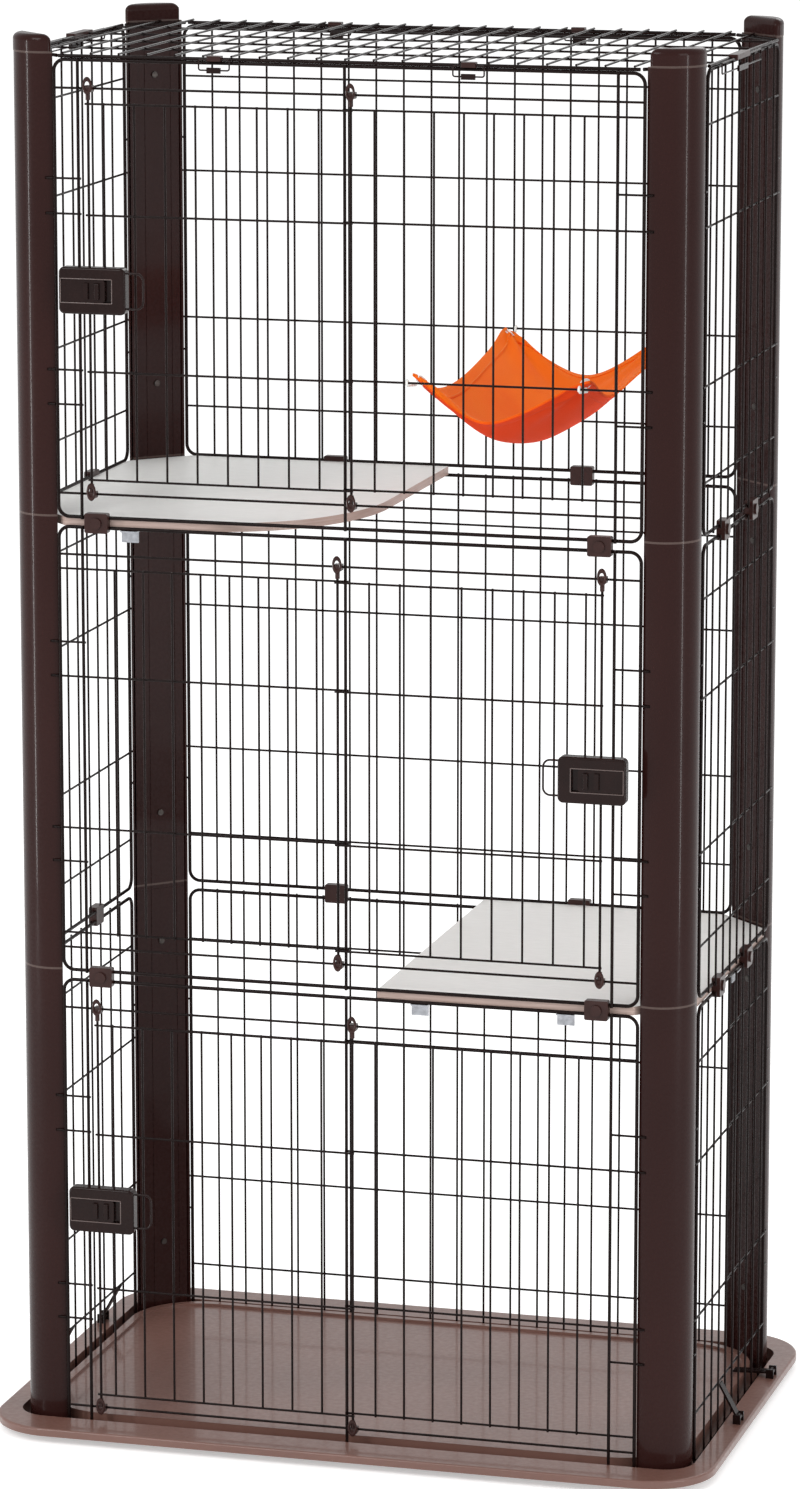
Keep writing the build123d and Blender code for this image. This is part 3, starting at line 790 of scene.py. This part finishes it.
@dataclass
class Hammock:
    """The hanging cloth between four hooks, with its hem, stitches and eyelets.

    Places on the cloth are given across it and along it, each from -1 to 1.

    Attributes:
        centre_x: The middle of the cloth across the cage.
        half_x: Half the cloth's width at its ends.
        half_y: Half the distance between its ends.
        corner_z: The height of its corners.
        tip_rise: How far the cloth turns up at its corners.
        tip_reach: How far from a corner that rise fades.
        waist: How far its long edges draw in at the middle, as a share of the half width.
        end_sag: How deep its end edges hang.
        middle_sag: How much deeper its middle hangs than its ends.
        front_bend: Where across it the front edge hangs lowest.
        end_tightness: How sharp the end edges' bends are.
        middle_ease: How much softer the bend is at the middle.
        edge_drop: How far its long edges fall.
        edge_bend: Where along them the long edges hang lowest.
        edge_tightness: How sharp the long edges' bends are.
        end_draw: How far its end edges draw in between the hooks.
        fold_depth: The depth of the folds that spread from its corners.
        fold_reach: How far from a corner the folds fade.
        fold_start: How far from a corner the folds reach their depth.
        fold_turns: How closely the folds follow each other round a corner.
        ripple: The depth of the ripples along its long edges.
        ripple_turns: How closely the ripples follow each other, across and along.
        cloth: The cloth's thickness.
        hem: The hem's width.
        hem_lift: From the cloth's face to the hem's middle.
        hem_wall: The hem's thickness.
        stitch: The length of a stitch.
        stitch_pitch: From one stitch to the next.
        stitch_inset: Where the stitches run, as a share of the hem's width.
        stitch_lift: From the cloth's face to the stitches' middle.
        stitch_ahead: How far ahead on its run a stitch points.
        thread: The thread's thickness.
        eyelet: An eyelet's place, across and along.
        eyelet_beside: A place beside it, across the cloth.
        eyelet_inward: A place beside it, along the cloth.
        eyelet_lift: From the cloth's face to an eyelet flange's middle.
        eyelet_radius: From an eyelet's middle to its flange's middle.
        eyelet_wire: Half the flange's thickness.
        columns: Divisions across the cloth.
        rows: Divisions along it.
        hem_cells: Divisions across the hem.
        lines_across: How many lines across the cloth are measured for its width.
        points_across: How many points each of them has.
        lines_along: How many lines along the cloth are measured for its length.
        points_along: How many points each of them has.
    """

    centre_x: float = 0.186
    half_x: float = 0.112
    half_y: float = 0.226
    corner_z: float = 1.3694
    tip_rise: float = 0.009
    tip_reach: float = 0.050
    waist: float = 0.025
    end_sag: float = 0.048
    middle_sag: float = 0.020
    front_bend: float = -0.22
    end_tightness: float = 4.2
    middle_ease: float = 2.6
    edge_drop: float = 0.026
    edge_bend: float = -0.45
    edge_tightness: float = 2.6
    end_draw: float = 0.010
    fold_depth: float = 0.0072
    fold_reach: float = 0.075
    fold_start: float = 0.030
    fold_turns: float = 9.0
    ripple: float = 0.0022
    ripple_turns: Pair = (8.0, 3.5)
    cloth: float = 0.0016
    hem: float = 0.014
    hem_lift: float = 0.0004
    hem_wall: float = 0.0010
    stitch: float = 0.0032
    stitch_pitch: float = 0.0062
    stitch_inset: float = 0.85
    stitch_lift: float = 0.0011
    stitch_ahead: float = 0.01
    thread: float = 0.0008
    eyelet: Pair = (0.93, 0.965)
    eyelet_beside: Pair = (0.88, 0.965)
    eyelet_inward: Pair = (0.93, 0.94)
    eyelet_lift: float = 0.0008
    eyelet_radius: float = 0.0056
    eyelet_wire: float = 0.0012
    columns: int = 64
    rows: int = 120
    hem_cells: int = 4
    lines_across: int = 21
    points_across: int = 41
    lines_along: int = 11
    points_along: int = 61

    @staticmethod
    def hang(where: float, lowest: float, tightness: float) -> float:
        """Gives the form in which an edge hangs: two straight runs and a soft bend.

        Args:
            where: A place from -1 to 1, where the edge is held at both ends.
            lowest: The place of the bend.
            tightness: How sharp the bend is.

        Returns:
            The share of the full sag, from 0 at the ends to about 1 at the bend.
        """
        first = max((1.0 + where) / (1.0 + lowest), TINY)
        second = max((1.0 - where) / (1.0 - lowest), TINY)
        return (2.0 / (first**-tightness + second**-tightness)) ** (1.0 / tightness)

    def folds(self, across: float, along: float) -> float:
        """Gives the height of the folds, the raised tips and the ripples.

        Args:
            across: From -1 at the left edge to 1 at the right edge.
            along: From -1 at the front edge to 1 at the back edge.

        Returns:
            The height above the smooth cloth, in metres.
        """
        fold = 0.0
        for corner_x, corner_y in CORNERS:
            dx = (across - corner_x) * self.half_x
            dy = (along - corner_y) * self.half_y
            reach = math.hypot(dx, dy)
            turn = math.atan2(abs(dy), abs(dx) + TINY)
            fade = math.exp(-reach / self.fold_reach) * min(1.0, reach / self.fold_start)
            fold += self.fold_depth * fade * math.sin(turn * self.fold_turns + corner_x)
            fold += self.tip_rise * math.exp(-((reach / self.tip_reach) ** 2))
        wave = math.sin(across * self.ripple_turns[0] + along * self.ripple_turns[1])
        return fold + self.ripple * wave * (1.0 - along**2) * abs(across)

    def point(self, across: float, along: float) -> Vector:
        """Gives a place on the cloth's middle surface.

        Args:
            across: From -1 at the left edge to 1 at the right edge.
            along: From -1 at the front edge to 1 at the back edge.

        Returns:
            The place, in metres.
        """
        belly = 1.0 - along * along
        half = self.half_x * (1.0 - self.waist * belly)
        bend = self.front_bend * (1.0 - along) / 2.0
        tightness = self.end_tightness - self.middle_ease * belly
        hollow = self.hang(across, bend, tightness)
        edge = self.edge_drop * self.hang(along, self.edge_bend, self.edge_tightness)
        height = self.corner_z - edge - (self.end_sag + self.middle_sag * belly) * hollow
        end = self.half_y - self.end_draw * (1.0 - across * across) * along**4
        rise = self.folds(across, along)
        return Vector((self.centre_x + half * across, end * along, height + rise))

    def flat_size(self) -> Pair:
        """Measures along the surface the width and length that the cloth was cut to.

        Returns:
            The mean width and the mean length, in metres.
        """
        widths = [
            run_length([self.point(across, along) for across in stations(self.points_across)])
            for along in stations(self.lines_across)
        ]
        lengths = [
            run_length([self.point(across, along) for along in stations(self.points_along)])
            for across in stations(self.lines_along)
        ]
        return sum(widths) / len(widths), sum(lengths) / len(lengths)

    def inset(self) -> Pair:
        """Gives the hem's width as shares of the cloth, across and along.

        Returns:
            The two shares, on the scale on which the cloth runs from -1 to 1.
        """
        width, length = self.flat_size()
        return 2.0 * self.hem / width, 2.0 * self.hem / length

    def strip(
        self, low: Pair, high: Pair, cells: tuple[int, int], lift: float
    ) -> bmesh.types.BMesh:
        """Makes a stretch of the cloth's surface with a UV map in metres.

        Args:
            low: Where it starts, across and along.
            high: Where it ends, across and along.
            cells: Its divisions, across and along.
            lift: How far above the cloth's middle surface it lies.

        Returns:
            The surface, one layer thick.
        """
        mesh = bmesh.new()
        bmesh.ops.create_grid(
            mesh, x_segments=cells[0], y_segments=cells[1], size=1.0, calc_uvs=True
        )
        layer = mesh.loops.layers.uv.verify()
        width, length = self.flat_size()
        places = {}
        for vert in mesh.verts:
            places[vert] = tuple(
                start + (stop - start) * (value + 1.0) / 2.0
                for start, stop, value in zip(low, high, vert.co)
            )
        for face in mesh.faces:
            for loop in face.loops:
                across, along = places[loop.vert]
                loop[layer].uv = (across * width / 2.0, along * length / 2.0)
        for vert, place in places.items():
            vert.co = self.point(*place) + Vector((0.0, 0.0, lift))
        return mesh

    def sew(self) -> bpy.types.Object:
        """Makes the four lines of stitches along the hem's inner edge.

        Returns:
            The piece with all the stitches.
        """
        mesh = bmesh.new()
        width, length = self.flat_size()
        inset_x, inset_y = self.inset()
        line_x, line_y = 1.0 - inset_x * self.stitch_inset, 1.0 - inset_y * self.stitch_inset
        long_count = int(length / self.stitch_pitch)
        short_count = int(width / self.stitch_pitch)
        lift = Vector((0.0, 0.0, self.cloth * 0.5 + self.stitch_lift))
        runs = []
        for side in (-1.0, 1.0):
            runs.append((long_count, lambda t, s=side: (s * line_x, t * (1.0 - inset_y))))
            runs.append((short_count, lambda t, s=side: (t * (1.0 - inset_x), s * line_y)))
        for count, track in runs:
            for k in range(count):
                t = -1.0 + 2.0 * (k + 0.5) / count
                here = self.point(*track(t))
                ahead = self.point(*track(min(1.0, t + self.stitch_ahead)))
                aim = Vector((1.0, 0.0, 0.0)).rotation_difference((ahead - here).normalized())
                made = bmesh.ops.create_cube(mesh, size=1.0)["verts"]
                bmesh.ops.scale(mesh, vec=(self.stitch, self.thread, self.thread), verts=made)
                bmesh.ops.rotate(mesh, matrix=aim.to_matrix(), verts=made)
                bmesh.ops.translate(mesh, vec=here + lift, verts=made)
        return finish_piece("hammock_stitches", mesh, THREAD, "cage")

    def fit_eyelets(self) -> bpy.types.Object:
        """Makes the flanged eyelets at the four corners.

        Returns:
            The piece with all four.
        """
        mesh = bmesh.new()
        for corner_x, corner_y in CORNERS:
            here, beside, inward = (
                self.point(corner_x * across, corner_y * along)
                for across, along in (self.eyelet, self.eyelet_beside, self.eyelet_inward)
            )
            normal = (beside - here).cross(inward - here).normalized()
            for lift in (-1.0, 1.0):
                centre = here + normal * lift * (self.cloth * 0.5 + self.eyelet_lift)
                add_ring(mesh, centre, normal, self.eyelet_radius, self.eyelet_wire)
        return finish_piece("hammock_eyelets", mesh, FINISHES[Slot.WHITE], "cage")

    def add_cloth(
        self, name: str, low: Pair, high: Pair, cells: tuple[int, int], lift: float, wall: float
    ) -> bpy.types.Object:
        """Makes one piece of cloth with its thickness.

        Args:
            name: The piece's name.
            low: Where it starts, across and along.
            high: Where it ends, across and along.
            cells: Its divisions, across and along.
            lift: How far above the cloth's middle surface it lies.
            wall: Its thickness.

        Returns:
            The piece.
        """
        surface = self.strip(low, high, cells, lift)
        piece = finish_piece(
            name, surface, FINISHES[Slot.CANVAS], "cage", CLOTH_CREASE
        )
        solid = piece.modifiers.new("Thickness", "SOLIDIFY")
        solid.thickness = wall
        solid.offset = 0.0
        return piece

    def build(self) -> None:
        """Makes the cloth and what is sewn to it, in place of the plain solid."""
        whole = (self.columns, self.rows)
        cloth = self.add_cloth("hammock_cloth", (-1.0, -1.0), (1.0, 1.0), whole, 0.0, self.cloth)
        inset_x, inset_y = self.inset()
        inner_x, inner_y = 1.0 - inset_x, 1.0 - inset_y
        long_cells = (self.hem_cells, self.rows)
        end_cells = (self.columns, self.hem_cells)
        bands = (
            ("left", (-1.0, -1.0), (-1.0 + inset_x, 1.0), long_cells),
            ("right", (inner_x, -1.0), (1.0, 1.0), long_cells),
            ("front", (-1.0 + inset_x, -1.0), (inner_x, -1.0 + inset_y), end_cells),
            ("back", (-1.0 + inset_x, inner_y), (inner_x, 1.0), end_cells),
        )
        hems = []
        for side, low, high, cells in bands:
            for layer, way in (("top", 1.0), ("under", -1.0)):
                lift = way * (self.cloth * 0.5 + self.hem_lift)
                name = f"hammock_hem_{side}_{layer}"
                hems.append(self.add_cloth(name, low, high, cells, lift, self.hem_wall))
        extras = [*hems, self.sew(), self.fit_eyelets()]
        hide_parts("hammock")


@dataclass
class DoorTrim:
    """The small mouldings of one sliding door: its guide loops and the latch's bezel.

    Attributes:
        tier: Which door it is, from 1 at the bottom.
        opens: The way in which it slides.
        loop_radius: From a guide loop's middle across to its wire's centre.
        loop_stretch: How much taller than wide the loops are.
        loop_wire: Half the loops' thickness.
        loop_inset: From the guides' outer sides to the loops' middles.
        loop_rise: From the guides' lower ends up to the lower loops' middles.
        loop_proud: How far the loops' middles stand in front of the guides.
        border: The bezel's line width and depth.
        bezel_gap: From the latch slider to the bezel's middle line.
        bezel_edge: The radius of the bezel's edges.
        bezel_depth: From the latch case's back to the bezel.
        travel: How far the latch slider moves.
    """

    tier: int
    opens: Opens
    loop_radius: float = 0.0046
    loop_stretch: float = 1.8
    loop_wire: float = 0.0016
    loop_inset: float = 0.0045
    loop_rise: float = 0.008
    loop_proud: float = 0.0002
    border: float = 0.0012
    bezel_gap: float = 0.0012
    bezel_edge: float = 0.0004
    bezel_depth: float = 0.016
    travel: float = 0.008

    def fit_loops(self) -> None:
        """Adds an oval loop beside each of the door's four guides."""
        low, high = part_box(f"door_guides_{self.tier}")
        stretch = (1.0, 1.0, self.loop_stretch)
        forward = Vector((0.0, 1.0, 0.0))
        mesh = bmesh.new()
        for x in (low[0] + self.loop_inset, high[0] - self.loop_inset):
            for z in (high[2], low[2] + self.loop_rise):
                centre = Vector((x, low[1] - self.loop_proud, z))
                add_ring(mesh, centre, forward, self.loop_radius, self.loop_wire, stretch)
        name = f"door_guide_loops_{self.tier}"
        finish_piece(name, mesh, FINISHES[Slot.CLIP], f"door_{self.tier}")

    def fit_bezel(self) -> None:
        """Adds the raised line round the latch slider's recess, painted paler as a highlight."""
        low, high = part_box(f"latch_slider_{self.tier}")
        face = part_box(f"latch_case_{self.tier}")[1][1] - self.bezel_depth
        left, right = low[0] - self.bezel_gap, high[0] + self.bezel_gap
        if self.opens is Opens.RIGHT:
            right += self.travel
        else:
            left -= self.travel
        bottom, top = low[2] - self.bezel_gap, high[2] + self.bezel_gap
        mesh = bmesh.new()
        for z in (bottom, top):
            centre = Vector(((left + right) / 2, face, z))
            size = Vector((right - left, self.border, self.border))
            add_block(mesh, centre, size, self.bezel_edge)
        for x in (left, right):
            centre = Vector((x, face, (bottom + top) / 2))
            size = Vector((self.border, self.border, top - bottom))
            add_block(mesh, centre, size, self.bezel_edge)
        finish_piece(f"latch_bezel_{self.tier}", mesh, BEZEL_HIGHLIGHT, f"door_{self.tier}")

    def build(self) -> None:
        """Makes all of this door's trim."""
        self.fit_loops()
        self.fit_bezel()


@dataclass(frozen=True)
class Lamp:
    """A soft rectangular lamp aimed at the cage's axis.

    Attributes:
        name: The lamp's name.
        place: Where it stands.
        width: Its width.
        height: Its height.
        power: Its power in watts.
    """

    name: str
    place: Point
    width: float
    height: float
    power: float

    def build(self, aim_height: float) -> None:
        """Adds the lamp to the scene.

        Args:
            aim_height: The height on the cage's axis that it is aimed at.
        """
        data = bpy.data.lights.new(self.name, "AREA")
        data.shape = "RECTANGLE"
        data.size = self.width
        data.size_y = self.height
        data.energy = self.power
        lamp = bpy.data.objects.new(self.name, data)
        lamp.location = self.place
        aim = Vector(self.place) - Vector((0.0, 0.0, aim_height))
        lamp.rotation_euler = aim.to_track_quat("Z", "Y").to_euler()
        bpy.context.scene.collection.objects.link(lamp)


# The two strips stand on the floor and draw a line of light down each glossy post.
LAMPS = (
    Lamp("Key", (-2.6, -4.6, 4.6), 2.4, 2.4, 120.0),
    Lamp("Fill", (4.8, -3.2, 2.8), 2.6, 2.6, 60.0),
    Lamp("Rim", (0.5, 4.5, 4.2), 2.4, 2.4, 50.0),
    Lamp("Left strip", (-2.9, -1.9, 0.9), 0.16, 1.7, 26.0),
    Lamp("Right strip", (3.1, -1.2, 0.9), 0.16, 1.7, 16.0),
)


@dataclass
class Studio:
    """The pale floor, the soft lamps, the world and the camera.

    Attributes:
        target: The point that the camera looks at.
        azimuth: The camera's turn from straight in front, in degrees.
        elevation: Its height angle, in degrees.
        distance: From the target to the camera.
        lens: The focal length in millimetres.
        aim_height: The height that the lamps are aimed at.
        floor_half: Half the floor's side.
        floor_drop: How far the floor lies below the tray's rest face.
        floor_colour: The floor's colour.
        floor_glow: What is added to the floor in the picture and in reflections.
        world_light: The world's strength as a light.
        backdrop: The world's strength in the picture.
    """

    target: Point = (-0.005087, 0.0, 0.867706)
    azimuth: float = 15.579
    elevation: float = 11.46
    distance: float = 7.642427
    lens: float = 144.17
    aim_height: float = 0.9
    floor_half: float = 40.0
    floor_drop: float = 0.0003
    floor_colour: Colour = (0.86, 0.86, 0.86)
    floor_glow: float = 0.42
    world_light: float = 0.80
    backdrop: float = 1.0

    def set_camera(self) -> None:
        """Places the camera at the photograph's angle."""
        turn, rise = math.radians(self.azimuth), math.radians(self.elevation)
        level = math.cos(rise)
        back = Vector((math.sin(turn) * level, -math.cos(turn) * level, math.sin(rise)))
        data = bpy.data.cameras.new("Camera")
        data.lens = self.lens
        data.sensor_width = 36.0
        data.clip_end = 200.0
        camera = bpy.data.objects.new("Camera", data)
        camera.location = Vector(self.target) + back * self.distance
        camera.rotation_euler = back.to_track_quat("Z", "Y").to_euler()
        bpy.context.scene.collection.objects.link(camera)
        bpy.context.scene.camera = camera

    def paint_floor(self) -> bpy.types.Material:
        """Makes the floor's material, which glows to the camera and in reflections.

        Returns:
            The material.
        """
        material = bpy.data.materials.new("Pale floor")
        material.use_nodes = True
        tree = material.node_tree
        tree.nodes.clear()
        output = tree.nodes.new("ShaderNodeOutputMaterial")
        paint = tree.nodes.new("ShaderNodeBsdfDiffuse")
        paint.inputs["Color"].default_value = (*self.floor_colour, 1.0)
        glow = tree.nodes.new("ShaderNodeEmission")
        glow.inputs["Color"].default_value = WHITE
        path = tree.nodes.new("ShaderNodeLightPath")
        seen = tree.nodes.new("ShaderNodeMath")
        seen.operation = "MAXIMUM"
        tree.links.new(path.outputs["Is Camera Ray"], seen.inputs[0])
        tree.links.new(path.outputs["Is Glossy Ray"], seen.inputs[1])
        level = tree.nodes.new("ShaderNodeMath")
        level.operation = "MULTIPLY"
        level.inputs[1].default_value = self.floor_glow
        tree.links.new(seen.outputs["Value"], level.inputs[0])
        tree.links.new(level.outputs["Value"], glow.inputs["Strength"])
        both = tree.nodes.new("ShaderNodeAddShader")
        tree.links.new(paint.outputs["BSDF"], both.inputs[0])
        tree.links.new(glow.outputs["Emission"], both.inputs[1])
        tree.links.new(both.outputs["Shader"], output.inputs["Surface"])
        return material

    def lay_floor(self) -> None:
        """Lays the pale floor, which keeps the cage's shadow."""
        mesh = bmesh.new()
        bmesh.ops.create_grid(mesh, x_segments=1, y_segments=1, size=self.floor_half)
        data = bpy.data.meshes.new("floor")
        mesh.to_mesh(data)
        mesh.free()
        data.materials.append(self.paint_floor())
        floor = bpy.data.objects.new("floor", data)
        floor.location = (0.0, 0.0, -self.floor_drop)
        bpy.context.scene.collection.objects.link(floor)

    def set_world(self) -> None:
        """Makes the even studio light, with a white backdrop to the camera."""
        world = bpy.data.worlds.new("Studio")
        bpy.context.scene.world = world
        world.use_nodes = True
        tree = world.node_tree
        tree.nodes.clear()
        output = tree.nodes.new("ShaderNodeOutputWorld")
        path = tree.nodes.new("ShaderNodeLightPath")
        mix = tree.nodes.new("ShaderNodeMixShader")
        tree.links.new(path.outputs["Is Camera Ray"], mix.inputs[0])
        for index, strength in enumerate((self.world_light, self.backdrop), start=1):
            light = tree.nodes.new("ShaderNodeBackground")
            light.inputs["Color"].default_value = WHITE
            light.inputs["Strength"].default_value = strength
            tree.links.new(light.outputs["Background"], mix.inputs[index])
        tree.links.new(mix.outputs["Shader"], output.inputs["Surface"])

    def build(self) -> None:
        """Sets up the whole studio."""
        self.set_camera()
        self.lay_floor()
        self.set_world()
        for lamp in LAMPS:
            lamp.build(self.aim_height)
        bpy.context.scene.view_settings.view_transform = "Standard"


def main() -> None:
    """Builds the studio, dresses the frame and adds each sub-assembly."""
    logging.basicConfig(level=logging.INFO, format="%(name)s: %(message)s")
    Studio().build()
    CarriedNodes().dress()
    Hammock().build()
    for tier, opens in ((1, Opens.RIGHT), (2, Opens.LEFT), (3, Opens.RIGHT)):
        DoorTrim(tier, opens).build()


if __name__ == "__main__":
    main()
